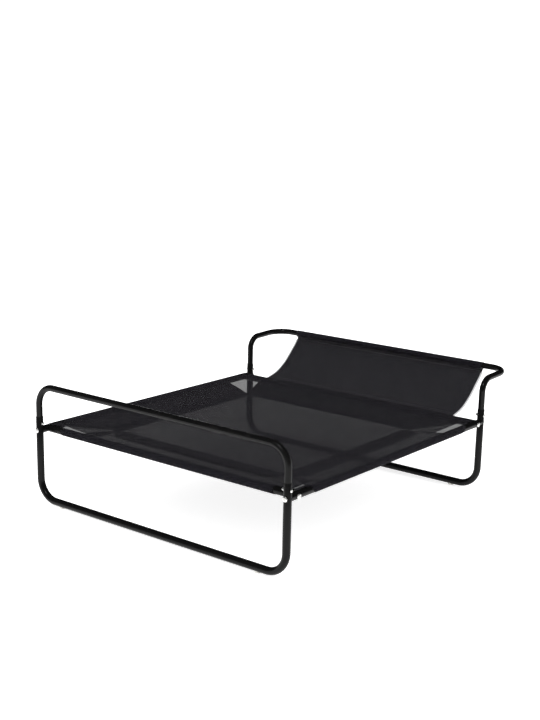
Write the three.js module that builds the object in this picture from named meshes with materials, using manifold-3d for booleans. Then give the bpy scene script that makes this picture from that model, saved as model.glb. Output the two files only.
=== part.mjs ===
// Raised dog bed on a bent-tube frame, with a slung mesh deck and a mesh head rest.
// Millimetres. +X runs across the bed, +Y from the foot to the head, +Z up.
import * as THREE from 'three';
import { mergeVertices, mergeGeometries } from 'three/addons/utils/BufferGeometryUtils.js';
import Module from 'manifold-3d';

const wasm = await Module();
wasm.setup();

// ---------------------------------------------------------------- driving dimensions
const LEG_SPACING = 931;          // leg axis to leg axis across the bed
const HOOP_SPACING = 978;         // foot hoop plane to head hoop plane
const GLIDE_LIFT = 2.5;           // underside of the floor bars above the floor
const LOWER_OD = 22, LOWER_ID = 20.5;   // lower hoops, which the upper hoops slide into
const UPPER_OD = 19.6, UPPER_ID = 17.6; // upper hoops
const RAIL_OD = 22, RAIL_ID = 20;       // side rails and cross rails
const FLOOR_BEND = 62;            // centre-line bend at the bottom corners
const FOOT_BAR_Z = 357.4;         // axis of the foot rail above the floor bars' underside
const FOOT_BEND = 58;
const KNEE_Z = 356.2, KNEE_BEND = 41;   // where the head hoop turns back
const HEAD_BACK = 160.6, HEAD_RISE = 5.2, HEAD_BEND = 58;
const RAIL_Z = 221.3;             // axis of the rails above the floor bars' underside
const HOOP_SCREW_Z = 243.3;       // axis of the screws that lock upper to lower hoop
const LOWER_TOP_Z = 262;          // top ends of the lower hoops
const UPPER_END_Z = 196;          // lower ends of the upper hoops, inside the lower ones
const CROSS_INSET = 32.5;         // cross rail axis inboard of the hoop plane
const COPE_GAP = 0.35;            // gap left at every coped end
const PLUG_LENGTH = 16;           // threaded end plugs of the rails
const CLOTH = 1.4;                // thickness of one layer of mesh as a solid
const CLEAR = 0.3;                // gap between touching pieces
const FLAP = 157;                 // return flaps under the deck, from the rail axis
const SIDE_SLEEVE_END = 57.5;     // bare end of a side rail, from the cross rail axis
const CROSS_SLEEVE_END = 68;      // bare end of a cross rail, from the side rail axis
const MITRE = 0.52;               // slope of the flap ends
const SEAM_LAP = 60;              // overlap of flap and under panel
const REST_HALF = 376;            // half width of the head rest
const SIDES = 16;                 // facets round a tube

const HX = LEG_SPACING / 2, HY = HOOP_SPACING / 2;
const Z0 = GLIDE_LIFT;
const railZ = RAIL_Z + Z0, screwZ = HOOP_SCREW_Z + Z0;
const crossY = HY - CROSS_INSET;
const lowerR = LOWER_OD / 2, upperR = UPPER_OD / 2, railR = RAIL_OD / 2;

// ---------------------------------------------------------------- materials
const mat = (hex, roughness, metalness) => new THREE.MeshStandardMaterial({ color: hex, roughness, metalness });
const BLACK = () => mat(0x191919, 0.42, 0.2);
const ZINC = () => mat(0xd9d9d6, 0.32, 0.9);
const MESH = () => mat(0x29282d, 0.85, 0.0);
const PANEL = () => mat(0x38383c, 0.85, 0.0);
const TAPE = () => mat(0x77777c, 0.8, 0.0);
const PLUG = () => mat(0x8a8a88, 0.4, 0.8);
const FOOT = () => mat(0xb9b9b6, 0.5, 0.0);

// ---------------------------------------------------------------- solids
const toSolid = (geometry) => {
  const g = geometry.index ? geometry.clone() : geometry;
  const bare = new THREE.BufferGeometry();
  bare.setAttribute('position', g.getAttribute('position').clone());
  if (g.index) bare.setIndex(g.index.clone());
  const m = mergeVertices(bare, 1e-4);
  return new wasm.Manifold(new wasm.Mesh({
    numProp: 3,
    vertProperties: new Float32Array(m.getAttribute('position').array),
    triVerts: new Uint32Array(m.index.array),
  }));
};
const toGeometry = (solid) => {
  const mesh = solid.getMesh();
  const g = new THREE.BufferGeometry();
  const p = new Float32Array(mesh.numVert * 3);
  for (let i = 0; i < mesh.numVert; i++) for (let k = 0; k < 3; k++) p[3 * i + k] = mesh.vertProperties[i * mesh.numProp + k];
  g.setAttribute('position', new THREE.BufferAttribute(p, 3));
  g.setIndex(new THREE.BufferAttribute(new Uint32Array(mesh.triVerts), 1));
  g.computeVertexNormals();
  return g;
};
const cylinder = (r, length, axis, x, y, z, sides = SIDES) => {
  const g = new THREE.CylinderGeometry(r, r, length, sides, 1);
  if (axis === 'x') g.rotateZ(-Math.PI / 2);
  if (axis === 'z') g.rotateX(Math.PI / 2);
  g.translate(x, y, z);
  return toSolid(g);
};

// A centre line of straights and bends, sampled only where it curves.
class BentLine extends THREE.Curve {
  constructor(corners, radii, perBend = 5) {
    super();
    this.pts = []; this.tans = [];
    const n = corners.length;
    const dir = (a, b) => b.clone().sub(a).normalize();
    for (let i = 0; i < n; i++) {
      const p = corners[i];
      if (i === 0) { this.pts.push(p.clone()); this.tans.push(dir(p, corners[1])); continue; }
      if (i === n - 1) { this.pts.push(p.clone()); this.tans.push(dir(corners[i - 1], p)); continue; }
      const a = dir(corners[i - 1], p), b = dir(p, corners[i + 1]);
      const turn = a.angleTo(b), R = radii[i], t = R * Math.tan(turn / 2);
      const start = p.clone().addScaledVector(a, -t);
      const inward = b.clone().addScaledVector(a, -a.dot(b)).normalize();
      const centre = start.clone().addScaledVector(inward, R);
      for (let k = 0; k <= perBend; k++) {
        const w = turn * k / perBend;
        this.pts.push(centre.clone().addScaledVector(inward, -R * Math.cos(w)).addScaledVector(a, R * Math.sin(w)));
        this.tans.push(a.clone().multiplyScalar(Math.cos(w)).addScaledVector(inward, Math.sin(w)));
      }
    }
    this.steps = this.pts.length - 1;
  }
  at(list, u) { return list[Math.min(this.steps, Math.round(u * this.steps))].clone(); }
  getPoint(u) { return this.at(this.pts, u); }
  getPointAt(u) { return this.at(this.pts, u); }
  getTangent(u) { return this.at(this.tans, u); }
  getTangentAt(u) { return this.at(this.tans, u); }
}
const ring = (r, n = SIDES) => Array.from({ length: n }, (_, i) => new THREE.Vector2(r * Math.cos((2 * Math.PI * (i + 0.5)) / n), r * Math.sin((2 * Math.PI * (i + 0.5)) / n)));
const bentTube = (corners, radii, od, id) => {
  const line = new BentLine(corners, radii);
  const section = new THREE.Shape(ring(od / 2));
  section.holes.push(new THREE.Path(ring(id / 2).reverse()));
  return toSolid(new THREE.ExtrudeGeometry(section, { steps: line.steps, extrudePath: line, bevelEnabled: false }));
};
const V = (x, y, z) => new THREE.Vector3(x, y, z);

const bed = new THREE.Group();
const add = (name, solid, material) => {
  const mesh = new THREE.Mesh(solid.isBufferGeometry ? solid : toGeometry(solid), material);
  mesh.name = name;
  bed.add(mesh);
  return mesh;
};

// ---------------------------------------------------------------- hoops
const RAIL_BOLT_HOLE = 3.5, SCREW_HOLE = 3.0, GLIDE_HOLE = 3.2;
const GLIDE_X = HX - 92;
const lowerHoop = (y) => {
  let s = bentTube([V(-HX, y, LOWER_TOP_Z + Z0), V(-HX, y, lowerR + Z0), V(HX, y, lowerR + Z0), V(HX, y, LOWER_TOP_Z + Z0)],
    [0, FLOOR_BEND, FLOOR_BEND, 0], LOWER_OD, LOWER_ID);
  for (const sx of [-1, 1]) {
    s = s.subtract(cylinder(RAIL_BOLT_HOLE, 40, 'y', sx * HX, y, railZ, 8));
    s = s.subtract(cylinder(SCREW_HOLE, 40, 'x', sx * HX, y, screwZ, 8));
    s = s.subtract(cylinder(GLIDE_HOLE, 8, 'z', sx * GLIDE_X, y, Z0, 8));
  }
  return s;
};
const bored = (s, y) => {
  for (const sx of [-1, 1]) {
    s = s.subtract(cylinder(RAIL_BOLT_HOLE, 40, 'y', sx * HX, y, railZ, 8));
    s = s.subtract(cylinder(SCREW_HOLE, 40, 'x', sx * HX, y, screwZ, 8));
  }
  return s;
};
add('front_lower_hoop', lowerHoop(-HY), BLACK());
add('rear_lower_hoop', lowerHoop(HY), BLACK());
add('front_upper_hoop', bored(bentTube(
  [V(-HX, -HY, UPPER_END_Z + Z0), V(-HX, -HY, FOOT_BAR_Z + Z0), V(HX, -HY, FOOT_BAR_Z + Z0), V(HX, -HY, UPPER_END_Z + Z0)],
  [0, FOOT_BEND, FOOT_BEND, 0], UPPER_OD, UPPER_ID), -HY), BLACK());
const headY = HY + HEAD_BACK, headZ = KNEE_Z + HEAD_RISE + Z0;
add('rear_upper_hoop', bored(bentTube(
  [V(-HX, HY, UPPER_END_Z + Z0), V(-HX, HY, KNEE_Z + Z0), V(-HX, headY, headZ), V(HX, headY, headZ), V(HX, HY, KNEE_Z + Z0), V(HX, HY, UPPER_END_Z + Z0)],
  [0, KNEE_BEND, HEAD_BEND, HEAD_BEND, KNEE_BEND, 0], UPPER_OD, UPPER_ID), HY), BLACK());

// ---------------------------------------------------------------- rails, coped to what they butt against
const cope = 0.05 + COPE_GAP;
const legCutter = (sx, sy) => cylinder(lowerR + cope, 60, 'z', sx * HX, sy * HY, railZ, 24);
const railCutter = (sx) => cylinder(railR + cope, HOOP_SPACING, 'y', sx * HX, 0, railZ, 24);
const straightTube = (axis, length, x, y, z, od, id) =>
  cylinder(od / 2, length, axis, x, y, z).subtract(cylinder(id / 2, length + 2, axis, x, y, z));
for (const [name, sx] of [['left', -1], ['right', 1]]) {
  let s = straightTube('y', HOOP_SPACING, sx * HX, 0, railZ, RAIL_OD, RAIL_ID);
  for (const sy of [-1, 1]) s = s.subtract(legCutter(sx, sy)).subtract(cylinder(RAIL_BOLT_HOLE, 40, 'x', sx * HX, sy * crossY, railZ, 8));
  add(`${name}_side_rail`, s, BLACK());
}
for (const [name, sy] of [['front', -1], ['rear', 1]]) {
  let s = straightTube('x', LEG_SPACING, 0, sy * crossY, railZ, RAIL_OD, RAIL_ID);
  for (const sx of [-1, 1]) s = s.subtract(railCutter(sx));
  add(`${name}_cross_rail`, s, BLACK());
}

// ---------------------------------------------------------------- threaded plugs in the rail ends
const PLUG_R = RAIL_ID / 2 - 0.55, THREAD_R = 3.5;
const ends = [['front', -1], ['rear', 1]], flanks = [['left', -1], ['right', 1]];
for (const [en, sy] of ends) for (const [fn, sx] of flanks) {
  const yIn = HY - lowerR - PLUG_LENGTH;
  let s = cylinder(PLUG_R, lowerR + PLUG_LENGTH, 'y', sx * HX, sy * (yIn + (lowerR + PLUG_LENGTH) / 2), railZ, 12)
    .subtract(legCutter(sx, sy)).subtract(cylinder(THREAD_R, 80, 'y', sx * HX, sy * HY, railZ, 8));
  add(`${en}_${fn}_side_rail_plug`, s, PLUG());
  const xIn = HX - railR - PLUG_LENGTH;
  s = cylinder(PLUG_R, railR + PLUG_LENGTH, 'x', sx * (xIn + (railR + PLUG_LENGTH) / 2), sy * crossY, railZ, 12)
    .subtract(railCutter(sx)).subtract(cylinder(THREAD_R, 80, 'x', sx * HX, sy * crossY, railZ, 8));
  add(`${en}_${fn}_cross_rail_plug`, s, PLUG());
}

// ---------------------------------------------------------------- fasteners
// A domed bolt as one turned profile along +Z: head from 0 up, shank below.
const turned = (profile, sides) => {
  const g = new THREE.LatheGeometry(profile.map(([r, h]) => new THREE.Vector2(r, h)), sides);
  g.rotateX(Math.PI / 2);
  return toSolid(g);
};
const hexSocket = (acrossFlats, depth, top) => {
  const g = new THREE.CylinderGeometry(acrossFlats / Math.sqrt(3), acrossFlats / Math.sqrt(3), depth * 2, 6, 1);
  g.rotateX(Math.PI / 2);
  g.translate(0, 0, top);
  return toSolid(g);
};
const aim = (geometry, dir, pos) => {
  const q = new THREE.Quaternion().setFromUnitVectors(V(0, 0, 1), dir);
  return geometry.applyQuaternion(q).translate(pos.x, pos.y, pos.z);
};
const railBolt = (shank) => turned([[0, -shank], [2.9, -shank], [2.9, 0], [7.5, 0], [7.4, 1.1], [6.0, 2.6], [3.6, 3.4], [0, 3.4]], 14)
  .subtract(hexSocket(4, 2, 3.4));
const lockScrew = (shank) => turned([[0, -shank], [2.4, -shank], [2.4, 0], [4.8, 0], [4.2, 1.6], [2.6, 2.4], [0, 2.4]], 10)
  .subtract(hexSocket(3, 1.5, 2.4));
const capNut = () => {
  const hex = new THREE.CylinderGeometry(4.6, 4.6, 3.2, 6, 1);
  hex.rotateX(Math.PI / 2); hex.translate(0, 0, 1.6);
  const dome = turned([[0, 2.6], [3.7, 2.6], [3.6, 4.4], [2.8, 5.9], [1.5, 6.7], [0, 6.9]], 8);
  return toSolid(hex).add(dome).subtract(cylinder(2.75, 9, 'z', 0, 0, 0, 8));
};
for (const [en, sy] of ends) for (const [fn, sx] of flanks) {
  add(`${en}_${fn}_leg_bolt`, aim(toGeometry(railBolt(36)), V(0, sy, 0), V(sx * HX, sy * (HY + lowerR + CLEAR), railZ)), ZINC());
  add(`${en}_${fn}_rail_bolt`, aim(toGeometry(railBolt(36)), V(sx, 0, 0), V(sx * (HX + railR + CLEAR), sy * crossY, railZ)), ZINC());
  add(`${en}_${fn}_hoop_screw`, aim(toGeometry(lockScrew(26.5)), V(sx, 0, 0), V(sx * (HX + lowerR + CLEAR), sy * HY, screwZ)), ZINC());
  add(`${en}_${fn}_cap_nut`, aim(toGeometry(capNut()), V(-sx, 0, 0), V(sx * (HX - lowerR - CLEAR), sy * HY, screwZ)), ZINC());
}

// ---------------------------------------------------------------- floor glides pushed into the floor bars
for (const [en, sy] of ends) for (const [fn, sx] of flanks) {
  const pad = cylinder(9, Z0 + 5, 'z', sx * GLIDE_X, sy * HY, (Z0 + 5) / 2, 16)
    .subtract(cylinder(lowerR + cope, 40, 'x', sx * GLIDE_X, sy * HY, lowerR + Z0, 32))
    .add(cylinder(2.6, 7, 'z', sx * GLIDE_X, sy * HY, 1 + 3.5, 10));
  add(`${en}_${fn}_glide`, pad, FOOT());
}

// ---------------------------------------------------------------- deck: top sheet, sleeves round the rails, mitred return flaps
const slab = (pts, z, t) => {
  const g = new THREE.ExtrudeGeometry(new THREE.Shape(pts.map(([x, y]) => new THREE.Vector2(x, y))), { depth: t, bevelEnabled: false });
  g.translate(0, 0, z);
  return toSolid(g);
};
const sleeveIn = railR + CLEAR, sleeveOut = sleeveIn + CLOTH;
const sideEnd = crossY - SIDE_SLEEVE_END, crossEnd = HX - CROSS_SLEEVE_END;
// half ring round the outside of a rail, in the plane (out, up), extruded along the rail
const halfRing = (length, from, to) => {
  const outer = [], inner = [], N = 12;
  for (let i = 0; i <= N; i++) {
    const a = from + (to - from) * i / N;
    outer.push(new THREE.Vector2(sleeveOut * Math.cos(a), sleeveOut * Math.sin(a)));
    inner.push(new THREE.Vector2(sleeveIn * Math.cos(a), sleeveIn * Math.sin(a)));
  }
  const g = new THREE.ExtrudeGeometry(new THREE.Shape([...outer, ...inner.reverse()]), { depth: length, bevelEnabled: false });
  g.translate(0, 0, -length / 2);
  return g;
};
const wrapDrop = MITRE * Math.PI * sleeveOut;    // how far the mitre has run by the time it is under the rail
const sheetX = HX - CLEAR / 2, sheetY = crossY - CLEAR / 2;
add('deck_sheet', slab([[-sheetX, -sheetY], [sheetX, -sheetY], [sheetX, sheetY], [-sheetX, sheetY]], railZ + sleeveIn, CLOTH), MESH());
// each sleeve is sewn to the deck sheet along the top of its rail, goes round the outside and returns as a mitred flap
const sleeve = (half, across, turn, x, y) => {
  const end = half - wrapDrop / 2, tip = across - FLAP - CLEAR;   // the four flaps meet at their inner corners
  const wrap = halfRing(2 * end, -Math.PI / 2 - 0.03, Math.PI / 2 - CLEAR / 2 / sleeveIn);
  wrap.rotateX(Math.PI / 2);                     // along Y, up stays up, out is +X
  const flap = slab([[0.5, -end], [0.5, end], [-FLAP, tip], [-FLAP, -tip]], -sleeveOut, CLOTH);
  const g = toGeometry(toSolid(wrap).add(flap));
  g.rotateZ(turn);
  g.translate(x, y, railZ);
  return toSolid(g);
};
add('right_sleeve', sleeve(sideEnd, crossY, 0, HX, 0), MESH());
add('left_sleeve', sleeve(sideEnd, crossY, Math.PI, -HX, 0), MESH());
add('rear_sleeve', sleeve(crossEnd, HX, Math.PI / 2, 0, crossY), MESH());
add('front_sleeve', sleeve(crossEnd, HX, -Math.PI / 2, 0, -crossY), MESH());

// ---------------------------------------------------------------- under panel, sewn to the flaps along a lap seam
const px = HX - FLAP + SEAM_LAP, py = crossY - FLAP + SEAM_LAP, pc = SEAM_LAP * 1.43;
add('under_panel', slab([[-px + pc, -py], [px - pc, -py], [px, -py + pc], [px, py - pc], [px - pc, py], [-px + pc, py], [-px, py - pc], [-px, -py + pc]],
  railZ - sleeveOut - CLEAR - CLOTH, CLOTH), PANEL());

// ---------------------------------------------------------------- head rest: casing round the top bar, hanging down to the back of the rear cross rail
const restR = upperR + CLEAR + CLOTH / 2;
const restSeat = sleeveOut + CLEAR + CLOTH / 2 + 0.4;    // from the cross rail axis to the rest, where it is sewn to the sleeve
const casingSeam = [headY - 2.3, headZ - 16.3];
const hang = new THREE.CatmullRomCurve3([
  V(0, casingSeam[0], casingSeam[1]),
  V(0, HY + 143.5, Z0 + 326.2), V(0, HY + 124, Z0 + 307.1), V(0, HY + 105, Z0 + 288.1), V(0, HY + 83, Z0 + 268.5), V(0, HY + 58, Z0 + 251.8),
  V(0, HY + 43, Z0 + 243.7), V(0, HY + 24, Z0 + 236.5), V(0, HY + 1, Z0 + 230.5),
  V(0, crossY + restSeat + 2.6, railZ + 4.8), V(0, crossY + restSeat, railZ), V(0, crossY + restSeat, railZ - 5.5)], false, 'centripetal');
const hangLine = hang.getSpacedPoints(26).map((p) => [p.y, p.z]);
const lineYZ = [];
{ // casing round the bar, closed by its seam underneath
  const start = -75 * Math.PI / 180, sweep = 285 * Math.PI / 180, N = 18;
  for (let i = 0; i <= N; i++) {
    const a = start + sweep * i / N;
    lineYZ.push([headY + restR * Math.cos(a), headZ + restR * Math.sin(a)]);
  }
  lineYZ.push(...hangLine);
}
const thicken = (line, t) => {
  const L = [], R = [];
  for (let i = 0; i < line.length; i++) {
    const a = line[Math.max(0, i - 1)], b = line[Math.min(line.length - 1, i + 1)];
    const d = Math.hypot(b[0] - a[0], b[1] - a[1]), nx = -(b[1] - a[1]) / d, ny = (b[0] - a[0]) / d;
    L.push([line[i][0] + nx * t / 2, line[i][1] + ny * t / 2]);
    R.push([line[i][0] - nx * t / 2, line[i][1] - ny * t / 2]);
  }
  return [...L, ...R.reverse()];
};
const alongX = (outlineYZ, x0, x1) => {
  const g = new THREE.ExtrudeGeometry(new THREE.Shape(outlineYZ.map(([y, z]) => new THREE.Vector2(y, z))), { depth: x1 - x0, bevelEnabled: false });
  // shape x -> Y, shape y -> Z, depth -> X
  g.applyMatrix4(new THREE.Matrix4().makeBasis(V(0, 1, 0), V(0, 0, 1), V(1, 0, 0)));
  g.translate(x0, 0, 0);
  return toSolid(g);
};
add('headrest_sling', alongX(thicken(lineYZ, CLOTH), -REST_HALF, REST_HALF), MESH());
const edgeLine = hangLine.slice(1, 20);
for (const [fn, sx] of flanks) {
  const a = sx * (REST_HALF + CLEAR), b = sx * (REST_HALF + CLEAR + 3);
  add(`headrest_${fn}_edge_tape`, alongX(thicken(edgeLine, CLOTH + 0.8), Math.min(a, b), Math.max(a, b)), TAPE());
}

// ---------------------------------------------------------------- origin at the middle of the footprint, on the floor
bed.updateMatrixWorld(true);
const box = new THREE.Box3().setFromObject(bed);
bed.position.set(0, -(box.min.y + box.max.y) / 2, -box.min.z);
bed.updateMatrixWorld(true);

export default bed;
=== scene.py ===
import math

import bmesh
import bpy
from mathutils import Matrix, Vector, noise


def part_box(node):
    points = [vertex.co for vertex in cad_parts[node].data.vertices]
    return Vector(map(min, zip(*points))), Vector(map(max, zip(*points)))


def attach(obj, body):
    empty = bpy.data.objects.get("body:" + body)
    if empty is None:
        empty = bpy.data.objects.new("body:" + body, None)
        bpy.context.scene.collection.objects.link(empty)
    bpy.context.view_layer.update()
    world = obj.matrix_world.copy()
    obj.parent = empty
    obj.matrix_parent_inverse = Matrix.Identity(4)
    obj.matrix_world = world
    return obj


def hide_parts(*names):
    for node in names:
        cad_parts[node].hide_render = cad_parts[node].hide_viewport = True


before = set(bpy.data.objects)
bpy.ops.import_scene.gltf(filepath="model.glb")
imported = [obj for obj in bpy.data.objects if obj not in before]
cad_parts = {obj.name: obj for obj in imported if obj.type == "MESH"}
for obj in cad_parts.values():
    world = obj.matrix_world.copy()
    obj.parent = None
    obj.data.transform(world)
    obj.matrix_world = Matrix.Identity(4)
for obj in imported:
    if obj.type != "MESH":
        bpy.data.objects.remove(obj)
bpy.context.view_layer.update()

scene = bpy.context.scene
pi, sin, cos, tan, sqrt, rad = math.pi, math.sin, math.cos, math.tan, math.sqrt, math.radians

# ------------------------------------------------------------------ sizes, in millimetres, in the part's own frame
lo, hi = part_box("front_lower_hoop")
LOWER_R = 11.0
HX = (hi[0] - lo[0]) * 500 - LOWER_R                       # leg axis from the middle
front_y = (lo[1] + hi[1]) * 500                            # foot hoop plane
lo2, hi2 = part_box("rear_lower_hoop")
rear_y = (lo2[1] + hi2[1]) * 500                           # head hoop plane
HY = (rear_y - front_y) / 2
DY = (rear_y + front_y) / 2                                # middle of the two hoop planes
Z0 = lo[2] * 1000                                          # underside of the floor bars
LOWER_TOP = hi[2] * 1000
rail_lo, rail_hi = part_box("front_cross_rail")
RAIL_R, RAIL_IN = 11.0, 10.0
railZ = (rail_lo[2] + rail_hi[2]) * 500
crossY = HY - ((rail_lo[1] + rail_hi[1]) * 500 - front_y)
upper_lo, upper_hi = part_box("front_upper_hoop")
UPPER_R, UPPER_IN, LOWER_IN = 9.8, 8.8, 10.25
FOOT_Z = upper_hi[2] * 1000 - UPPER_R
UPPER_END = upper_lo[2] * 1000
head_lo, head_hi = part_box("rear_upper_hoop")
headZ = head_hi[2] * 1000 - UPPER_R
headY = head_hi[1] * 1000 - UPPER_R - DY
kneeZ = headZ - 5.2
screwZ = (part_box("front_left_hoop_screw")[0][2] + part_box("front_left_hoop_screw")[1][2]) * 500
CLOTH = 0.8                      # thickness of one layer of woven mesh
SLEEVE_R = RAIL_R + 0.35 + CLOTH / 2
FLAP = 157.0
SEAM_LAP = 60.0
REST_HALF = 376.0
CLEAR = 0.3


def M(x, y, z):
    return Vector((x / 1000, (y + DY) / 1000, z / 1000))


def deck_sag(x, y, amount):
    a = max(0.0, 1 - (x / HX) ** 2) * max(0.0, 1 - (y / crossY) ** 2)
    return amount * a ** 0.75


# ------------------------------------------------------------------ node helpers
def new_mat(name):
    m = bpy.data.materials.new(name)
    m.use_nodes = True
    nt = m.node_tree
    b = nt.nodes["Principled BSDF"]
    return m, nt, b


def node(nt, kind, **props):
    n = nt.nodes.new(kind)
    ins = props.pop("ins", {})
    for k, v in props.items():
        setattr(n, k, v)
    for k, v in ins.items():
        n.inputs[k].default_value = v
    return n


def math_node(nt, op, a, b=None, clamp=False):
    n = nt.nodes.new("ShaderNodeMath")
    n.operation = op
    n.use_clamp = clamp
    for i, v in enumerate((a, b)):
        if v is None:
            continue
        if isinstance(v, (int, float)):
            n.inputs[i].default_value = v
        else:
            nt.links.new(v, n.inputs[i])
    return n.outputs[0]


def ramp(nt, fac, stops):
    n = nt.nodes.new("ShaderNodeValToRGB")
    e = n.color_ramp.elements
    while len(e) < len(stops):
        e.new(0.5)
    for el, (p, c) in zip(e, stops):
        el.position = p
        el.color = c if len(c) == 4 else (*c, 1)
    nt.links.new(fac, n.inputs[0])
    return n.outputs[0]


def map_range(nt, v, a, b, c, d):
    n = nt.nodes.new("ShaderNodeMapRange")
    nt.links.new(v, n.inputs[0])
    for i, x in zip((1, 2, 3, 4), (a, b, c, d)):
        n.inputs[i].default_value = x
    return n.outputs[0]


def tex_noise(nt, coord, scale, detail=3.0, rough=0.5, stretch=None):
    if stretch is not None:
        m = node(nt, "ShaderNodeMapping")
        m.inputs["Scale"].default_value = stretch
        nt.links.new(coord, m.inputs["Vector"])
        coord = m.outputs[0]
    n = node(nt, "ShaderNodeTexNoise")
    n.inputs["Scale"].default_value = scale
    n.inputs["Detail"].default_value = detail
    n.inputs["Roughness"].default_value = rough
    nt.links.new(coord, n.inputs["Vector"])
    return n.outputs[0]


def bump(nt, height, strength, distance, after=None):
    n = node(nt, "ShaderNodeBump")
    n.inputs["Strength"].default_value = strength
    n.inputs["Distance"].default_value = distance
    nt.links.new(height, n.inputs["Height"])
    if after is not None:
        nt.links.new(after, n.inputs["Normal"])
    return n.outputs[0]


def mix_color(nt, fac, a, b):
    n = node(nt, "ShaderNodeMix", data_type="RGBA")
    if isinstance(fac, (int, float)):
        n.inputs[0].default_value = fac
    else:
        nt.links.new(fac, n.inputs[0])
    for i, v in ((6, a), (7, b)):
        if isinstance(v, tuple):
            n.inputs[i].default_value = (*v, 1)
        else:
            nt.links.new(v, n.inputs[i])
    return n.outputs[2]


# ------------------------------------------------------------------ materials
def powder_coat():
    m, nt, b = new_mat("black_powder_coat")
    co = node(nt, "ShaderNodeTexCoord").outputs["Object"]
    peel = tex_noise(nt, co, 620, 2.0, 0.55)                 # orange peel, about 1.5 mm
    fine = tex_noise(nt, co, 2600, 2.0, 0.6)                 # grain of the powder
    cloud = tex_noise(nt, co, 9, 3.0, 0.6)
    scuff = tex_noise(nt, co, 160, 4.0, 0.75, stretch=(1.0, 1.0, 0.22))
    worn = map_range(nt, scuff, 0.66, 0.78, 0.0, 1.0)
    base = ramp(nt, cloud, [(0.3, (0.0030, 0.0030, 0.0031)), (0.7, (0.0050, 0.0049, 0.0049))])
    nt.links.new(mix_color(nt, math_node(nt, "MULTIPLY", worn, 0.5), base, (0.014, 0.014, 0.014)), b.inputs["Base Color"])
    r = math_node(nt, "ADD", map_range(nt, cloud, 0.3, 0.7, 0.20, 0.29), math_node(nt, "MULTIPLY", worn, 0.16))
    r = math_node(nt, "ADD", r, map_range(nt, fine, 0.3, 0.7, -0.03, 0.03))
    nt.links.new(r, b.inputs["Roughness"])
    n1 = bump(nt, peel, 0.16, 0.00022)
    nt.links.new(bump(nt, fine, 0.10, 0.00005, n1), b.inputs["Normal"])
    b.inputs["Specular IOR Level"].default_value = 0.12
    return m


def metal(name, color, rough, axis_stretch, dull):
    m, nt, b = new_mat(name)
    co = node(nt, "ShaderNodeTexCoord").outputs["Object"]
    brushed = tex_noise(nt, co, 900, 3.0, 0.6, stretch=axis_stretch)
    cloud = tex_noise(nt, co, 60, 3.0, 0.6)
    c0 = tuple(v * dull for v in color)
    nt.links.new(ramp(nt, cloud, [(0.25, c0), (0.6, color)]), b.inputs["Base Color"])
    nt.links.new(math_node(nt, "ADD", map_range(nt, brushed, 0.3, 0.7, rough - 0.06, rough + 0.08),
                           map_range(nt, cloud, 0.3, 0.7, 0.05, -0.04)), b.inputs["Roughness"])
    nt.links.new(bump(nt, brushed, 0.12, 0.0001), b.inputs["Normal"])
    b.inputs["Metallic"].default_value = 1.0
    return m


def glide_plastic():
    m, nt, b = new_mat("glide_plastic")
    co = node(nt, "ShaderNodeTexCoord").outputs["Object"]
    cloud = tex_noise(nt, co, 45, 3.0, 0.6)
    grit = tex_noise(nt, co, 1500, 2.0, 0.6)
    nt.links.new(ramp(nt, cloud, [(0.3, (0.50, 0.49, 0.46)), (0.7, (0.62, 0.61, 0.58))]), b.inputs["Base Color"])
    nt.links.new(map_range(nt, cloud, 0.3, 0.7, 0.42, 0.6), b.inputs["Roughness"])
    nt.links.new(bump(nt, grit, 0.2, 0.00008), b.inputs["Normal"])
    return m


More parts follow.
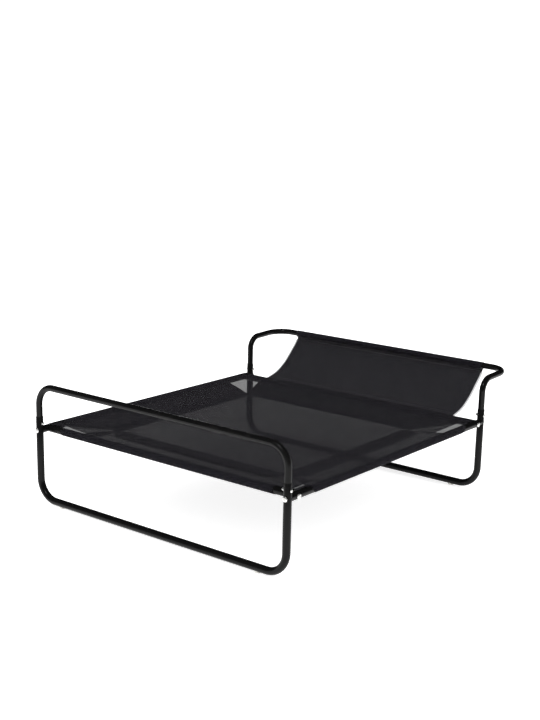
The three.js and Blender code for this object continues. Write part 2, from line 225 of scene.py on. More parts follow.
def woven(name, dark, light, alpha, pitch_u=1.15, pitch_v=1.0, spec=0.25, rough=(0.70, 0.85), strength=0.16):
    """Coated yarn in a plain weave, laid out on the cloth's own flat pattern (UV in metres). Its colour has painted
    shade: darker between the yarns and in the holes, lighter on the yarn crests.
    """
    m, nt, b = new_mat(name)
    uv = node(nt, "ShaderNodeUVMap").outputs[0]
    sep = node(nt, "ShaderNodeSeparateXYZ")
    nt.links.new(uv, sep.inputs[0])
    pu = math_node(nt, "MULTIPLY", sep.outputs[0], pi * 1000 / pitch_u)
    pv = math_node(nt, "MULTIPLY", sep.outputs[1], pi * 1000 / pitch_v)
    su, sv = math_node(nt, "SINE", pu), math_node(nt, "SINE", pv)
    hu, hv = math_node(nt, "ABSOLUTE", su), math_node(nt, "ABSOLUTE", sv)
    over = math_node(nt, "MULTIPLY", math_node(nt, "SINE", math_node(nt, "MULTIPLY", pu, 1.0)), sv)
    over = map_range(nt, over, -0.5, 0.5, 0.0, 1.0)          # which yarn is on top here
    warp = math_node(nt, "MULTIPLY", math_node(nt, "POWER", hu, 0.6), over)
    weft = math_node(nt, "MULTIPLY", math_node(nt, "POWER", hv, 0.6), math_node(nt, "SUBTRACT", 1.0, over))
    height = math_node(nt, "ADD", warp, weft)
    # painted shade: the holes between the yarns are coloured darker
    hole_painted_shade = math_node(nt, "MULTIPLY", math_node(nt, "LESS_THAN", hu, 0.28), math_node(nt, "LESS_THAN", hv, 0.28))
    cloud = tex_noise(nt, uv, 7.0, 3.0, 0.6)
    slub = tex_noise(nt, uv, 60.0, 2.0, 0.6, stretch=(1.0, 14.0, 1.0))
    slub2 = tex_noise(nt, uv, 60.0, 2.0, 0.6, stretch=(14.0, 1.0, 1.0))
    # painted shade: the colour follows the weave height, darker in the low places between yarns and lighter on the
    # crests; slub and cloud add random tone
    tone_and_painted_shade = math_node(nt, "ADD", math_node(nt, "MULTIPLY", height, 0.55),
                     math_node(nt, "MULTIPLY", math_node(nt, "ADD", slub, slub2), 0.22))
    tone_and_painted_shade = math_node(nt, "ADD", tone_and_painted_shade, map_range(nt, cloud, 0.3, 0.7, -0.06, 0.10))
    tone_and_painted_shade = math_node(nt, "SUBTRACT", tone_and_painted_shade, math_node(nt, "MULTIPLY", hole_painted_shade, 0.5), clamp=True)
    nt.links.new(ramp(nt, tone_and_painted_shade, [(0.1, dark), (0.85, light)]), b.inputs["Base Color"])
    nt.links.new(map_range(nt, tone_and_painted_shade, 0.1, 0.9, rough[1], rough[0]), b.inputs["Roughness"])
    n1 = bump(nt, height, strength, 0.00030)
    nt.links.new(bump(nt, slub, 0.15, 0.0002, n1), b.inputs["Normal"])
    b.inputs["Specular IOR Level"].default_value = spec
    b.inputs["Sheen Weight"].default_value = 0.015
    b.inputs["Sheen Roughness"].default_value = 0.5
    if alpha < 1:
        b.inputs["Alpha"].default_value = alpha
    return m


def thread():
    m, nt, b = new_mat("stitch_thread")
    co = node(nt, "ShaderNodeTexCoord").outputs["Object"]
    ply = tex_noise(nt, co, 2400, 2.0, 0.5, stretch=(1.0, 0.5, 1.0))
    nt.links.new(ramp(nt, ply, [(0.3, (0.012, 0.012, 0.013)), (0.7, (0.035, 0.035, 0.037))]), b.inputs["Base Color"])
    nt.links.new(map_range(nt, ply, 0.3, 0.7, 0.5, 0.7), b.inputs["Roughness"])
    nt.links.new(bump(nt, ply, 0.4, 0.0001), b.inputs["Normal"])
    return m


COAT = powder_coat()
ZINC = metal("zinc", (0.80, 0.80, 0.78), 0.34, (1.0, 1.0, 0.25), 0.86)
STEEL = metal("plug_steel", (0.48, 0.47, 0.46), 0.38, (0.2, 1.0, 1.0), 0.8)
GLIDE = glide_plastic()
MESH = woven("sling_mesh", (0.0068, 0.0065, 0.0081), (0.0142, 0.0136, 0.0169), 0.672, spec=0.02)
PANEL = woven("panel_mesh", (0.0068, 0.0065, 0.0081), (0.0142, 0.0136, 0.0169), 0.672, spec=0.02)
REST = woven("rest_mesh", (0.0060, 0.0057, 0.0073), (0.0136, 0.0129, 0.0163), 0.74, spec=0.03)
TAPE = woven("edge_tape", (0.26, 0.26, 0.265), (0.58, 0.58, 0.59), 1.0, pitch_u=0.6, pitch_v=0.9)
THREAD = thread()


# ------------------------------------------------------------------ mesh helpers
def make(name, verts, faces, mat, reps=(), uvs=None, sharp=38, frame_mm=True):
    me = bpy.data.meshes.new(name)
    me.from_pydata([M(*v) if frame_mm else Vector(v) for v in verts], [], faces)
    if uvs is not None:
        layer = me.uv_layers.new(name="flat")
        for loop in me.loops:
            u = uvs[loop.vertex_index]
            layer.data[loop.index].uv = (u[0] / 1000, u[1] / 1000)
    me.materials.append(mat)
    me.shade_smooth()
    if sharp:
        me.set_sharp_from_angle(angle=rad(sharp))
    me.update()
    ob = bpy.data.objects.new(name, me)
    scene.collection.objects.link(ob)
    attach(ob, "root")
    if reps:
        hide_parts(*reps)
    return ob


def outward(ob):
    bm = bmesh.new()
    bm.from_mesh(ob.data)
    bmesh.ops.recalc_face_normals(bm, faces=bm.faces[:])
    bm.to_mesh(ob.data)
    bm.free()
    return ob


def skin(rings, closed_loop=False, caps=False):
    """Quads between successive rings of equal length; each ring is closed."""
    verts, faces = [v for r in rings for v in r], []
    n, m = len(rings[0]), len(rings)
    for i in range(m if closed_loop else m - 1):
        a, b = i * n, ((i + 1) % m) * n
        for k in range(n):
            faces.append((a + k, a + (k + 1) % n, b + (k + 1) % n, b + k))
    if caps:
        faces.append(tuple(range(n - 1, -1, -1)))
        faces.append(tuple((m - 1) * n + k for k in range(n)))
    return verts, faces


def bent_line(corners, radii, per_bend=18):
    out, n = [], len(corners)
    pts = [Vector(c) for c in corners]
    for i, p in enumerate(pts):
        if i == 0:
            out.append((p, (pts[1] - p).normalized(), None, 0.0))
            continue
        if i == n - 1:
            out.append((p, (p - pts[i - 1]).normalized(), None, 0.0))
            continue
        a, b = (p - pts[i - 1]).normalized(), (pts[i + 1] - p).normalized()
        turn = a.angle(b)
        R = radii[i]
        start = p - a * (R * tan(turn / 2))
        inward = (b - a * a.dot(b)).normalized()
        centre = start + inward * R
        for k in range(per_bend + 1):
            w = turn * k / per_bend
            out.append((centre - inward * (R * cos(w)) + a * (R * sin(w)), a * cos(w) + inward * sin(w),
                        inward * cos(w) - a * sin(w), sin(pi * k / per_bend)))
    return out


def bent_tube(name, corners, radii, ro, ri, reps, n=44, flat=0.035):
    line = bent_line(corners, radii)
    t0 = line[0][1]
    N = t0.orthogonal().normalized()
    frames = []
    for i, (p, t, inn, s) in enumerate(line):
        if i:
            N = N.copy()
            N.rotate(line[i - 1][1].rotation_difference(t))
        frames.append((p, t, N, t.cross(N), inn, s))

    def ring(f, r, push=0.0):
        p, t, N, B, inn, s = f
        out = []
        for k in range(n):
            a = 2 * pi * k / n
            o = N * cos(a) + B * sin(a)
            if inn is not None:                       # a bent tube is a little flattened across its bend
                d = o.dot(inn)
                o = o - inn * (flat * s * d) * (1.0 if d < 0 else 0.4)
            out.append(tuple(p + o * r + t * push))
        return out

    e, mid = 0.35, (ro + ri) / 2
    first, last = frames[0], frames[-1]
    outer = [ring(first, ro, e)] + [ring(f, ro) for f in frames[1:-1]] + [ring(last, ro, -e)]
    inner = [ring(last, ri, -e)] + [ring(f, ri) for f in reversed(frames[1:-1])] + [ring(first, ri, e)]
    lip0 = [ring(first, mid + 0.2), ring(first, mid - 0.2)]
    lip1 = [ring(last, mid + 0.2), ring(last, mid - 0.2)]
    rings = [lip0[0], *outer, *lip1, *inner, lip0[1]]
    v, f = skin(rings, closed_loop=True)
    return outward(make(name, v, f, COAT, reps))


def coped_rail(name, side, reps, n=48):
    """side: 'x' for a rail along X (cross rail), else along Y. Each end is saddle cut to the tube it meets."""
    kind, s = side
    Rc = (LOWER_R if kind == "y" else RAIL_R) + 0.42
    if kind == "y":
        cx, end = s * HX, HY
    else:
        cx, end = s * crossY, HX

    def ring(r, where, sign):
        out = []
        for k in range(n):
            a = 2 * pi * k / n
            across, up = r * cos(a), r * sin(a)
            if where == "cope":
                reach = end - sqrt(Rc ** 2 - (across if kind == "y" else up) ** 2)
            else:
                reach = where
            out.append((cx + across, sign * reach, railZ + up) if kind == "y" else (sign * reach, cx + across, railZ + up))
        return out

    near = end - Rc - 1.2
    steps = [near - i * (2 * near) / 12 for i in range(13)]
    outer = [ring(RAIL_R - 0.15, "cope", 1)] + [ring(RAIL_R, near, 1)]
    outer += [ring(RAIL_R, y, 1) for y in steps[1:-1]]
    outer += [ring(RAIL_R, near, -1), ring(RAIL_R - 0.15, "cope", -1)]
    inner = [ring(RAIL_IN, "cope", -1), ring(RAIL_IN, near, -1), ring(RAIL_IN, near, 1), ring(RAIL_IN, "cope", 1)]
    v, f = skin(outer + inner, closed_loop=True)
    return outward(make(name, v, f, COAT, reps))


# ------------------------------------------------------------------ frame tubes
def V3(x, y, z):
    return (x, y, z)


for en, sy in (("front", -1), ("rear", 1)):
    y = sy * HY
    bent_tube(f"{en}_floor_hoop", [V3(-HX, y, LOWER_TOP), V3(-HX, y, LOWER_R + Z0), V3(HX, y, LOWER_R + Z0), V3(HX, y, LOWER_TOP)],
              [0, 62, 62, 0], LOWER_R, LOWER_IN, [f"{en}_lower_hoop"])
bent_tube("foot_hoop", [V3(-HX, -HY, UPPER_END), V3(-HX, -HY, FOOT_Z), V3(HX, -HY, FOOT_Z), V3(HX, -HY, UPPER_END)],
          [0, 58, 58, 0], UPPER_R, UPPER_IN, ["front_upper_hoop"])
bent_tube("head_hoop", [V3(-HX, HY, UPPER_END), V3(-HX, HY, kneeZ), V3(-HX, headY, headZ), V3(HX, headY, headZ), V3(HX, HY, kneeZ), V3(HX, HY, UPPER_END)],
          [0, 41, 58, 58, 41, 0], UPPER_R, UPPER_IN, ["rear_upper_hoop"])
for fn, sx in (("left", -1), ("right", 1)):
    coped_rail(f"{fn}_rail", ("y", sx), [f"{fn}_side_rail"])
for en, sy in (("front", -1), ("rear", 1)):
    coped_rail(f"{en}_rail", ("x", sy), [f"{en}_cross_rail"])


# ------------------------------------------------------------------ fasteners
SEG = 36


def hex_r(a, across_flats):
    """Distance from the middle to a hexagon's side in direction a."""
    w = (a + pi / 6) % (pi / 3) - pi / 6
    return across_flats / 2 / cos(w)


def aimed(verts, direction, pos):
    q = Vector((0, 0, 1)).rotation_difference(Vector(direction)).to_matrix()
    return [tuple(q @ Vector(v) + Vector(pos)) for v in verts]


def circle(r, h):
    return [(r * cos(2 * pi * k / SEG), r * sin(2 * pi * k / SEG), h) for k in range(SEG)]


def hexagon(af, h, limit=1e9):
    return [(min(hex_r(2 * pi * k / SEG, af), limit) * cos(2 * pi * k / SEG),
             min(hex_r(2 * pi * k / SEG, af), limit) * sin(2 * pi * k / SEG), h) for k in range(SEG)]


def socket_bolt(name, head, shank_r, shank, af, depth, direction, pos, reps, nose=0.6):
    """A button-head bolt: shank with a chamfered nose, turned head, hexagon socket."""
    rings = [circle(shank_r - nose, -shank), circle(shank_r, -shank + nose)]
    x = -shank + nose + 1.0
    while x < -shank + 16:                            # rolled thread near the nose
        rings += [circle(shank_r, x), circle(shank_r - 0.35, x + 0.5)]
        x += 1.0
    rings += [circle(shank_r, x), circle(shank_r, 0)]
    rings += [circle(r, h) for r, h in head]
    top = head[-1][1]
    rings += [hexagon(af + 0.5, top), hexagon(af, top - 0.25), hexagon(af, top - depth), circle(af * 0.22, top - depth - 0.7)]
    v, f = skin(rings, caps=True)
    return outward(make(name, aimed(v, direction, pos), f, ZINC, reps, sharp=32))


LEG_HEAD = [(6.9, 0.0), (7.35, 0.18), (7.5, 0.55), (7.42, 1.05), (7.05, 1.6), (6.4, 2.2), (5.5, 2.75), (4.4, 3.15), (3.5, 3.32), (2.9, 3.4)]
SCREW_HEAD = [(4.45, 0.0), (4.72, 0.15), (4.8, 0.45), (4.65, 0.95), (4.2, 1.5), (3.5, 2.0), (2.8, 2.28), (2.25, 2.4)]


def cap_nut(name, direction, pos, reps):
    rings = [hexagon(8.0, 0.0, 4.15), hexagon(8.0, 0.45), hexagon(8.0, 2.7), hexagon(8.0, 3.25, 4.05), circle(3.75, 3.3), circle(3.75, 4.1)]
    for k in range(1, 8):
        a = pi / 2 * k / 8
        rings.append(circle(3.75 * cos(a), 4.1 + 2.8 * sin(a)))
    v, f = skin(rings, caps=True)
    return outward(make(name, aimed(v, direction, pos), f, ZINC, reps, sharp=32))


for en, sy in (("front", -1), ("rear", 1)):
    for fn, sx in (("left", -1), ("right", 1)):
        c = f"{en}_{fn}"
        socket_bolt(f"{c}_frame_bolt", LEG_HEAD, 2.9, 36, 4.0, 2.0, (0, sy, 0), (sx * HX, sy * (HY + LOWER_R + CLEAR), railZ), [f"{c}_leg_bolt"])
        socket_bolt(f"{c}_cross_bolt", LEG_HEAD, 2.9, 36, 4.0, 2.0, (sx, 0, 0), (sx * (HX + RAIL_R + CLEAR), sy * crossY, railZ), [f"{c}_rail_bolt"])
        socket_bolt(f"{c}_lock_screw", SCREW_HEAD, 2.4, 26.5, 3.0, 1.5, (sx, 0, 0), (sx * (HX + LOWER_R + CLEAR), sy * HY, screwZ), [f"{c}_hoop_screw"])
        cap_nut(f"{c}_acorn_nut", (-sx, 0, 0), (sx * (HX - LOWER_R - CLEAR), sy * HY, screwZ), [f"{c}_cap_nut"])

# the plugs and glides keep their CAD shape, with softened edges and their own materials
for info in list(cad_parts):
    nm = info if isinstance(info, str) else info["name"]
    mat = STEEL if nm.endswith("_plug") else GLIDE if nm.endswith("_glide") else None
    if mat is None:
        continue
    ob = bpy.data.objects[nm]
    if ob.material_slots:
        for s in ob.material_slots:
            s.material = mat
    else:
        ob.data.materials.append(mat)
    bev = ob.modifiers.new("soft_edges", "BEVEL")
    bev.width = 0.0003
    bev.segments = 2
    bev.limit_method = "ANGLE"
    bev.angle_limit = rad(40)


# ------------------------------------------------------------------ cloth helpers
class Cloth:
    """Vertices with their flat-pattern position, merged where pieces of one cloth meet."""

    def __init__(self):
        self.v, self.uv, self.f, self.key = [], [], [], {}

    def add(self, p, uv, merge=True):
        k = (round(p[0], 3), round(p[1], 3), round(p[2], 3))
        if merge and k in self.key:
            return self.key[k]
        self.v.append(tuple(p))
        self.uv.append(uv)
        self.key[k] = len(self.v) - 1
        return len(self.v) - 1

    def strip(self, rows):
        for a, b in zip(rows, rows[1:]):
            for k in range(len(a) - 1):
                self.f.append((a[k], a[k + 1], b[k + 1], b[k]))

    def done(self, name, mat, slot, reps=(), thick=CLOTH, offset=0.0, sharp=60):
        ob = outward_sheet(make(name, self.v, self.f, mat, reps, uvs=self.uv, sharp=None))
        s = ob.modifiers.new("thickness", "SOLIDIFY")
        s.thickness = thick / 1000
        s.offset = offset
        s.use_even_offset = True
        return ob


def outward_sheet(ob):
    bm = bmesh.new()
    bm.from_mesh(ob.data)
    bmesh.ops.recalc_face_normals(bm, faces=bm.faces[:])
    bm.to_mesh(ob.data)
    bm.free()
    return ob


def spread(a, b, n):
    return [a + (b - a) * i / n for i in range(n + 1)]


TOP_SAG, LOW_SAG = 4.5, 3.0
UNDER = CLOTH + 0.12              # from one layer of cloth to the next
topZ, lowZ = railZ + SLEEVE_R, railZ - SLEEVE_R
ARC = pi * SLEEVE_R


def top_at(x, y):
    return topZ - deck_sag(x, y, TOP_SAG)


def low_at(x, y, under=0.0):
    return lowZ - under - deck_sag(x, y, LOW_SAG)


def place(side, out, v, up):
    """A point beside a rail: out from its axis, v along it, up from its axis."""
    return {"right": (HX + out, v, railZ + up), "left": (-HX - out, v, railZ + up),
            "rear": (v, crossY + out, railZ + up), "front": (v, -crossY - out, railZ + up)}[side]


# how far each sleeve and its flap stop short of the neighbouring rail's axis: over the rail, under the rail, and slope along the flap
ENDS = {("right", 1): (72.0, 104.0, 0.43), ("right", -1): (57.5, 84.0, 0.50), ("left", 1): (57.5, 79.5, 0.49), ("left", -1): (57.5, 79.5, 0.49),
        ("rear", 1): (66.0, 66.5, 0.47), ("rear", -1): (66.0, 66.5, 0.47), ("front", 1): (66.0, 63.0, 0.0), ("front", -1): (66.0, 68.0, 0.47)}


def end_at(side, sgn, s):
    """Where the cloth of a sleeve ends, s along the cloth from the top of the rail, towards +v or -v."""
    across = crossY if side in ("left", "right") else HX
    top, under_rail, slope = ENDS[side, sgn]
    if s <= ARC:
        t = s / ARC
        return across - (top + (under_rail - top) * t * t)
    return across - under_rail - slope * (s - ARC)


def sleeve_point(side, s, v):
    if s <= ARC:
        a = pi / 2 - s / SLEEVE_R
        return place(side, SLEEVE_R * cos(a), v, SLEEVE_R * sin(a))
    x, y, z = place(side, -(s - ARC), v, -SLEEVE_R)
    return (x, y, low_at(x, y, UNDER * min(1.0, (s - ARC) / 22.0) if side == "front" else 0.0))


def flat_uv(side, s, v):
    return {"right": (HX + s, v), "left": (-HX - s, v), "rear": (v, crossY + s), "front": (v, -crossY - s)}[side]


# ------------------------------------------------------------------ deck cover: top sheet, sleeves round the rails, mitred return flaps
XE, YE0, YE1 = HX - 66.0, crossY - 57.5, crossY - 72.0      # where the sleeves end, over the rails
xs = spread(-HX, -XE, 5)[:-1] + spread(-XE, XE, 46) + spread(XE, HX, 5)[1:]
ys = spread(-crossY, -YE0, 5)[:-1] + spread(-YE0, YE1, 44) + [YE0] + spread(YE0, crossY, 5)[1:]
cover = Cloth()
rows = [[cover.add((x, y, top_at(x, y)), (x, y)) for x in xs] for y in ys]
cover.strip(rows)
for side in ("right", "left", "rear", "front"):
    e0, e1 = -end_at(side, -1, 0), end_at(side, 1, 0)
    line = [v for v in (ys if side in ("right", "left") else xs) if e0 - 1e-6 <= v <= e1 + 1e-6]
    steps = [ARC * i / 16 for i in range(17)] + [ARC + FLAP * i / 12 for i in range(1, 13)]
    rows = []
    for s in steps:
        a, b = -end_at(side, -1, s), end_at(side, 1, s)
        along = [a + (v - e0) / (e1 - e0) * (b - a) for v in line]
        rows.append([cover.add(sleeve_point(side, s, v), flat_uv(side, s, v)) for v in along])
    cover.strip(rows)
deck = cover.done("deck_cover", MESH, "sling_mesh", ["deck_sheet", "right_sleeve", "left_sleeve", "rear_sleeve", "front_sleeve"])

# ------------------------------------------------------------------ under panel: the second layer under the middle
px, py, pc = HX - FLAP + SEAM_LAP, crossY - FLAP + SEAM_LAP, SEAM_LAP * 1.43
K = 4
pxs = spread(-px, -px + pc, K)[:-1] + spread(-px + pc, px - pc, 30) + spread(px - pc, px, K)[1:]
pys = spread(-py, -py + pc, K)[:-1] + spread(-py + pc, py - pc, 30) + spread(py - pc, py, K)[1:]
panel = Cloth()


def panel_vert(x, y):
    return panel.add((x, y, low_at(x, y, 2 * UNDER)), (x, y))


for j in range(len(pys) - 1):
    for i in range(len(pxs) - 1):
        quad = [(pxs[i], pys[j]), (pxs[i + 1], pys[j]), (pxs[i + 1], pys[j + 1]), (pxs[i], pys[j + 1])]
        keep = [p for p in quad if (abs(p[0]) - (px - pc)) + (abs(p[1]) - (py - pc)) <= pc + 1e-3 or abs(p[0]) <= px - pc + 1e-3 or abs(p[1]) <= py - pc + 1e-3]
        if len(keep) >= 3:
            panel.f.append(tuple(panel_vert(*p) for p in keep))
under = panel.done("lower_panel", PANEL, "panel_mesh", ["under_panel"])


# ------------------------------------------------------------------ linings: a second ply on the left and rear flaps
def lining(side, straight, mitred):
    """straight and mitred are the signs of its two ends; the straight end runs square to the rail."""
    c = Cloth()
    rows = []
    across = crossY if side == "left" else HX
    for s in spread(ARC + 1.0, ARC + FLAP - 1.0, 12):
        square = 71.5 - 0.12 * (s - ARC) if side == "left" else 64.0
        ends = {straight: straight * (across - square), mitred: mitred * (end_at(side, mitred, s) - 1.2)}
        a, b = ends[-1], ends[1]
        row = []
        for v in spread(a, b, 42):
            x, y, z = sleeve_point(side, s, v)
            row.append(c.add((x, y, z + UNDER), flat_uv(side, s, v)))
        rows.append(row)
    c.strip(rows)
    ob = c.done(f"{side}_flap_lining", MESH, "sling_mesh")
    return ob


linings = [lining("left", -1, 1), lining("rear", 1, -1)]


# ------------------------------------------------------------------ stitching
def stitch_rows(name, lines, pitch=3.6, length=2.7, w=0.34, h=0.26, reps=()):
    """Rows of lock stitches. Each line is a list of (point, normal) along the seam, in millimetres."""
    verts, faces = [], []
    prof = [(-0.5, 0.25), (-0.36, 0.85), (0.0, 1.0), (0.36, 0.85), (0.5, 0.25)]
    for pts in lines:
        acc = 0.0
        for (a, na), (b, nb) in zip(pts, pts[1:]):
            a, b, na = Vector(a), Vector(b), Vector(na)
            d = b - a
            L = d.length
            if L < 1e-6:
                continue
            t = d / L
            side = t.cross(na).normalized()
            up = side.cross(t).normalized()
            pos = -acc
            while True:
                pos += pitch
                if pos - pitch / 2 > L:
                    acc = L - (pos - pitch)
                    break
                if pos - pitch / 2 < 0:
                    continue
                c = a + t * (pos - pitch / 2)
                base = len(verts)
                for q, r in prof:
                    for k in range(6):
                        ang = 2 * pi * k / 6
                        verts.append(tuple(c + t * (q * length) + side * (w * r * cos(ang)) + up * (h * r * sin(ang))))
                for i in range(len(prof) - 1):
                    for k in range(6):
                        faces.append((base + i * 6 + k, base + i * 6 + (k + 1) % 6, base + (i + 1) * 6 + (k + 1) % 6, base + (i + 1) * 6 + k))
                faces.append(tuple(base + k for k in range(5, -1, -1)))
                faces.append(tuple(base + 24 + k for k in range(6)))
    return outward(make(name, verts, faces, THREAD, reps, sharp=None))


seam_lines = []
for side in ("right", "left", "rear", "front"):
    for out in (FLAP - SEAM_LAP + 6, FLAP - 6):
        s = ARC + out
        pts = []
        for v in spread(-end_at(side, -1, s) + 14, end_at(side, 1, s) - 14, 36):
            x, y, z = sleeve_point(side, s, v)
            pts.append(((x, y, low_at(x, y, 2 * UNDER) - CLOTH / 2), (0, 0, -1)))
        seam_lines.append(pts)
deck_stitches = stitch_rows("deck_seam_stitches", seam_lines)


# ------------------------------------------------------------------ hems: folded edges of the flaps and of the top sheet's corners
def hem_strip(cloth, edge, inward, lift, width=9.0):
    """A folded strip along an edge: edge points, the way in, and how far above or below the cloth it lies."""
    rows = []
    for q in (0.0, 0.5, 1.0):
        rows.append([cloth.add((p[0] + i[0] * width * q, p[1] + i[1] * width * q, p[2] + i[2] * width * q + lift), (p[0] + i[0] * width * q, p[1] + i[1] * width * q)) for p, i in zip(edge, inward)])
    cloth.strip(rows)


hem_lines = []
for sy, en in ((-1, "front"), (1, "rear")):
    for sx, fn in ((-1, "left"), (1, "right")):
        h = Cloth()
        # mitred ends of the two flaps, hem on the inside of the deck
        for side, sgn in ((fn, sy), (en, sx)):
            edge, inn = [], []
            slope = ENDS[side, sgn][2]
            for s in spread(ARC + 2.0, ARC + FLAP - SEAM_LAP + 3, 14):
                hh = end_at(side, sgn, s)
                p = sleeve_point(side, s, sgn * hh)
                q = sleeve_point(side, s, sgn * (hh - 9 * sqrt(1 + slope ** 2)))
                edge.append(p)
                d = Vector(q) - Vector(p)
                inn.append(tuple(d / 9.0))
            hem_strip(h, edge, inn, UNDER * (2.0 if side in ("left", "rear") else 1.0), 9.0)
            hem_lines.append([((p[0] + i[0] * 6.5, p[1] + i[1] * 6.5, p[2] + i[2] * 6.5 - CLOTH / 2 - 0.02), (0, 0, -1)) for p, i in zip(edge, inn)])
        # free edges of the top sheet's corner, hem on the underside
        cx = [(sx * HX, sy * v) for v in spread(end_at(fn, sy, 0) + 1, crossY, 6)]
        cy = [(sx * u, sy * crossY) for u in spread(end_at(en, sx, 0) + 1, HX - 9.2, 6)]
        hem_strip(h, [(x, y, top_at(x, y)) for x, y in cx], [(-sx, 0, 0)] * len(cx), UNDER, 9.0)
        hem_strip(h, [(x, y, top_at(x, y)) for x, y in cy], [(0, -sy, 0)] * len(cy), UNDER, 9.0)
        hem_lines.append([((x - sx * 6.5, y, top_at(x, y) + UNDER + CLOTH / 2), (0, 0, 1)) for x, y in cx[:-1]])
        hem_lines.append([((x, y - sy * 6.5, top_at(x, y) + UNDER + CLOTH / 2), (0, 0, 1)) for x, y in cy])
        h.done(f"{en}_{fn}_corner_hems", MESH, "sling_mesh", thick=0.7)
hem_stitches = stitch_rows("hem_stitches", hem_lines, pitch=3.2, length=2.3, w=0.28, h=0.2)


# ------------------------------------------------------------------ head rest: two plies folded over the top bar
def centripetal(points, n):
    """A smooth line through the points, evenly spaced."""
    P = [Vector(p) for p in points]
    P = [P[0] * 2 - P[1]] + P + [P[-1] * 2 - P[-2]]
    fine = []
    for i in range(1, len(P) - 2):
        p0, p1, p2, p3 = P[i - 1:i + 3]
        t0 = 0.0
        t1 = t0 + sqrt((p1 - p0).length)
        t2 = t1 + sqrt((p2 - p1).length)
        t3 = t2 + sqrt((p3 - p2).length)
        for k in range(40):
            t = t1 + (t2 - t1) * k / 40
            a1 = p0 * ((t1 - t) / (t1 - t0)) + p1 * ((t - t0) / (t1 - t0))
            a2 = p1 * ((t2 - t) / (t2 - t1)) + p2 * ((t - t1) / (t2 - t1))
            a3 = p2 * ((t3 - t) / (t3 - t2)) + p3 * ((t - t2) / (t3 - t2))
            b1 = a1 * ((t2 - t) / (t2 - t0)) + a2 * ((t - t0) / (t2 - t0))
            b2 = a2 * ((t3 - t) / (t3 - t1)) + a3 * ((t - t1) / (t3 - t1))
            fine.append(b1 * ((t2 - t) / (t2 - t1)) + b2 * ((t - t1) / (t2 - t1)))
    fine.append(P[-2])
    d = [0.0]
    for a, b in zip(fine, fine[1:]):
        d.append(d[-1] + (b - a).length)
    out, j = [], 0
    for k in range(n + 1):
        want = d[-1] * k / n
        while j < len(d) - 2 and d[j + 1] < want:
            j += 1
        u = (want - d[j]) / max(1e-9, d[j + 1] - d[j])
        out.append(fine[j].lerp(fine[j + 1], u))
    return out


PLY = 0.75
REST_R = UPPER_R + 0.35 + PLY / 2
SEAT = SLEEVE_R + CLOTH / 2 + 0.35 + PLY / 2                # back ply, where the rest is sewn to the back of the rear sleeve
GAP = 1.0                                                   # between the two plies
seam = (headY - 2.3, headZ - 16.3)                          # casing seam, close under the bar
# front ply, from the casing seam down to the back of the rear cross rail (Y from HY, Z from the floor bars)
frontline = centripetal([
    seam, (HY + 143.5, Z0 + 326.2), (HY + 124, Z0 + 307.1), (HY + 105, Z0 + 288.1), (HY + 83, Z0 + 268.5), (HY + 58, Z0 + 251.8),
    (HY + 43, Z0 + 243.7), (HY + 24, Z0 + 236.5), (HY + 1, Z0 + 230.5),
    (crossY + SEAT + 3.2, railZ + 5.0), (crossY + SEAT, railZ + 1.0), (crossY + SEAT, railZ - 5.0)], 72)
frontline = [(p[0], p[1]) for p in frontline]


def offset_line(line, d):
    out = []
    for i, p in enumerate(line):
        a, b = line[max(0, i - 1)], line[min(len(line) - 1, i + 1)]
        t = Vector((b[0] - a[0], b[1] - a[1])).normalized()
        out.append((p[0] - t[1] * d, p[1] + t[0] * d))
    return out


# the cloth: up the front ply, round the bar inside its casing, back to the seam and down behind the front ply
back = offset_line(frontline, GAP)
arc = [(headY + REST_R * cos(a), headZ + REST_R * sin(a)) for a in [rad(212 - (212 + 70) * i / 34) for i in range(35)]]
path = list(reversed(frontline)) + arc + [((arc[-1][0] + back[0][0]) / 2 + 0.6, (arc[-1][1] + back[0][1]) / 2 - 0.5)] + back[1:]
clean = [path[0]]
for p in path[1:]:
    if math.hypot(p[0] - clean[-1][0], p[1] - clean[-1][1]) > 0.35:
        clean.append(p)
path = clean
dist = [0.0]
for a, b in zip(path, path[1:]):
    dist.append(dist[-1] + math.hypot(b[0] - a[0], b[1] - a[1]))


def rest_half(y, z):
    """The free side edges pull in slightly between the bar and the deck."""
    t = min(1.0, max(0.0, (z - railZ) / (headZ - railZ)))
    return REST_HALF - 1.2 * sin(pi * t)


rest = Cloth()
rows = []
NX = 56
for (y, z), s in zip(path, dist):
    h = rest_half(y, z)
    t = min(1.0, max(0.0, (z - railZ - 20) / 70)) * min(1.0, max(0.0, (headZ - 16 - z) / 40))
    row = []
    for x in spread(-h, h, NX):
        w = noise.noise(Vector((x * 0.006, y * 0.012, 3.1))) * 1.1 * t
        row.append(rest.add((x, y + w * 0.55, z + w), (x, s), merge=False))
    rows.append(row)
rest.strip(rows)
rest_ob = rest.done("head_rest", REST, "rest_mesh", ["headrest_sling"], thick=PLY)


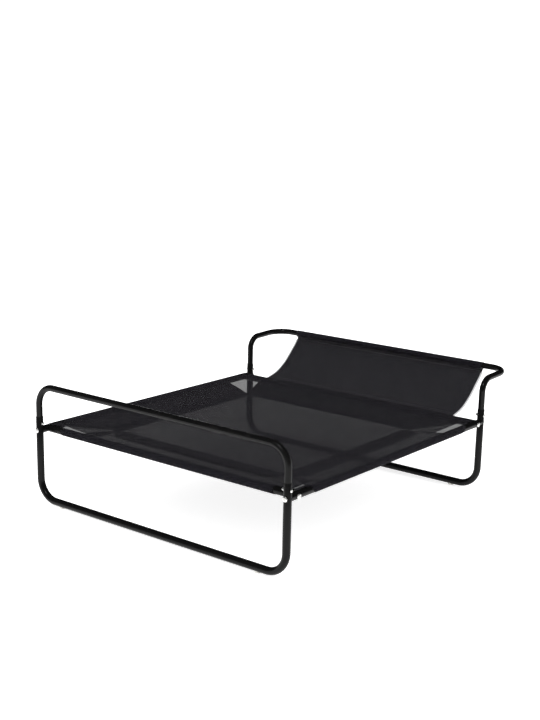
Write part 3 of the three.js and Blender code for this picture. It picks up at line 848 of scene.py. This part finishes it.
# edge binding: a folded woven tape along each free side edge
def edge_binding(sx, name, rep):
    last = next(i for i, p in enumerate(frontline) if p[0] < crossY + SEAT + 9)
    pts = [frontline[i] for i in range(2, last + 1)]
    verts, uvs, rings = [], [], []
    s = 0.0
    for i, (y, z) in enumerate(pts):
        a, b = pts[max(0, i - 1)], pts[min(len(pts) - 1, i + 1)]
        if i:
            s += math.hypot(y - pts[i - 1][0], z - pts[i - 1][1])
        t = Vector((b[0] - a[0], b[1] - a[1])).normalized()
        n = (-t[1], t[0])
        mid_y, mid_z = y + n[0] * GAP / 2, z + n[1] * GAP / 2
        h = rest_half(y, z)
        ring = []
        end = 1.0 if 0 < i < len(pts) - 1 else 0.55
        for k in range(14):
            ang = 2 * pi * k / 14
            cx, cn = cos(ang), sin(ang)
            ex = (abs(cx) ** 0.75) * (1 if cx >= 0 else -1) * 3.0 * end
            en = (abs(cn) ** 0.75) * (1 if cn >= 0 else -1) * 1.45 * end
            ring.append((sx * (h + 0.7 + ex), mid_y + n[0] * en, mid_z + n[1] * en))
            uvs.append((ang * 2.0, s))
        rings.append(ring)
    v, f = skin(rings, caps=True)
    return outward(make(name, v, f, TAPE, [rep], uvs=uvs, sharp=60))


tapes = [edge_binding(-1, "rest_left_binding", "headrest_left_edge_tape"), edge_binding(1, "rest_right_binding", "headrest_right_edge_tape")]

rest_lines = []


def rest_seam(index_from_top, lift):
    y, z = frontline[index_from_top]
    a, b = frontline[index_from_top - 1], frontline[min(len(frontline) - 1, index_from_top + 1)]
    t = Vector((b[0] - a[0], b[1] - a[1])).normalized()
    n = (t[1], -t[0])
    h = rest_half(y, z) - 4
    return [((x, y + n[0] * lift, z + n[1] * lift), (0, n[0], n[1])) for x in spread(-h, h, 30)]


low_seam = next(i for i, p in enumerate(frontline) if p[0] < crossY + SEAT + 14)
rest_lines.append(rest_seam(1, PLY / 2))
rest_lines.append(rest_seam(low_seam, PLY / 2))
rest_lines.append(rest_seam(low_seam - 3, PLY / 2))
rest_stitches = stitch_rows("head_rest_stitches", rest_lines)

# ------------------------------------------------------------------ the area the deck cover's cloth is cut to
cut = 2 * HX * 2 * crossY
for side in ("right", "left", "rear", "front"):
    for sgn in (-1, 1):
        cut += (end_at(side, sgn, 0) + end_at(side, sgn, ARC)) / 2 * ARC + (end_at(side, sgn, ARC) + end_at(side, sgn, ARC + FLAP)) / 2 * FLAP

# ------------------------------------------------------------------ floor, light
bm = bmesh.new()
bmesh.ops.create_circle(bm, cap_ends=True, segments=128, radius=40.0)
me = bpy.data.meshes.new("floor")
bm.to_mesh(me)
bm.free()
floor = bpy.data.objects.new("floor", me)
floor.location = (0, 0, -0.0003)
scene.collection.objects.link(floor)
fm, nt, b = new_mat("pale_floor")
co = node(nt, "ShaderNodeTexCoord").outputs["Object"]
n = tex_noise(nt, co, 3.0, 4.0, 0.6)
nt.links.new(ramp(nt, n, [(0.3, (0.88, 0.88, 0.88)), (0.7, (0.90, 0.90, 0.90))]), b.inputs["Base Color"])
nt.links.new(map_range(nt, n, 0.3, 0.7, 0.75, 0.85), b.inputs["Roughness"])
b.inputs["Specular IOR Level"].default_value = 0.1
b.inputs["Emission Color"].default_value = (1, 1, 1, 1)
b.inputs["Emission Strength"].default_value = 0.74
me.materials.append(fm)

world = bpy.data.worlds.new("studio")
scene.world = world
world.use_nodes = True
bg = world.node_tree.nodes["Background"]
bg.inputs["Color"].default_value = (1.0, 1.0, 1.0, 1)
bg.inputs["Strength"].default_value = 1.12
world.cycles_visibility.glossy = False


def area_light(name, loc, target, size, power, size_y=None, glossy=True):
    l = bpy.data.lights.new(name, "AREA")
    l.energy = power
    l.size = size
    if size_y:
        l.shape = "RECTANGLE"
        l.size_y = size_y
    ob = bpy.data.objects.new(name, l)
    ob.location = loc
    d = Vector(target) - Vector(loc)
    ob.rotation_mode = "QUATERNION"
    ob.rotation_quaternion = d.to_track_quat("-Z", "Y")
    ob.visible_glossy = glossy
    scene.collection.objects.link(ob)
    return ob


area_light("key", (0.9, -2.4, 3.4), (0, 0, 0.2), 0.32, 42)
area_light("top", (-0.9, 0.9, 3.6), (0, 0, 0.2), 1.2, 24, glossy=False)
area_light("side", (-3.2, -1.2, 2.6), (0, 0, 0.3), 0.9, 10, glossy=False)

# ------------------------------------------------------------------ camera, at the photograph's angle
yaw, pitch, roll = -0.6684671, 0.2488346, 0.0207888
fwd = Vector((sin(yaw) * cos(pitch), cos(yaw) * cos(pitch), -sin(pitch)))
right = Vector((cos(yaw), -sin(yaw), 0))
up = right.cross(fwd)
r2 = right * cos(roll) + up * sin(roll)
u2 = -right * sin(roll) + up * cos(roll)
cam_data = bpy.data.cameras.new("camera")
cam = bpy.data.objects.new("camera", cam_data)
mat = Matrix((r2, u2, -fwd)).transposed().to_4x4()
mat.translation = Vector((2.2404, -2.8884, 1.2292))
cam.matrix_world = mat
W, H, F_PX, CX, CY = 540, 720, 1226.947, 271.205, 395.962
cam_data.sensor_fit = "AUTO"
cam_data.sensor_width = 36.0
cam_data.lens = F_PX * 36.0 / H
cam_data.shift_x = (W / 2 - (CX + 0.5)) / H
cam_data.shift_y = ((CY + 0.5) - H / 2) / H
cam_data.clip_start = 0.05
cam_data.clip_end = 200
scene.collection.objects.link(cam)
scene.camera = cam
scene.view_settings.view_transform = "Standard"
scene.view_settings.look = "None"
scene.cycles.transparent_max_bounces = 24
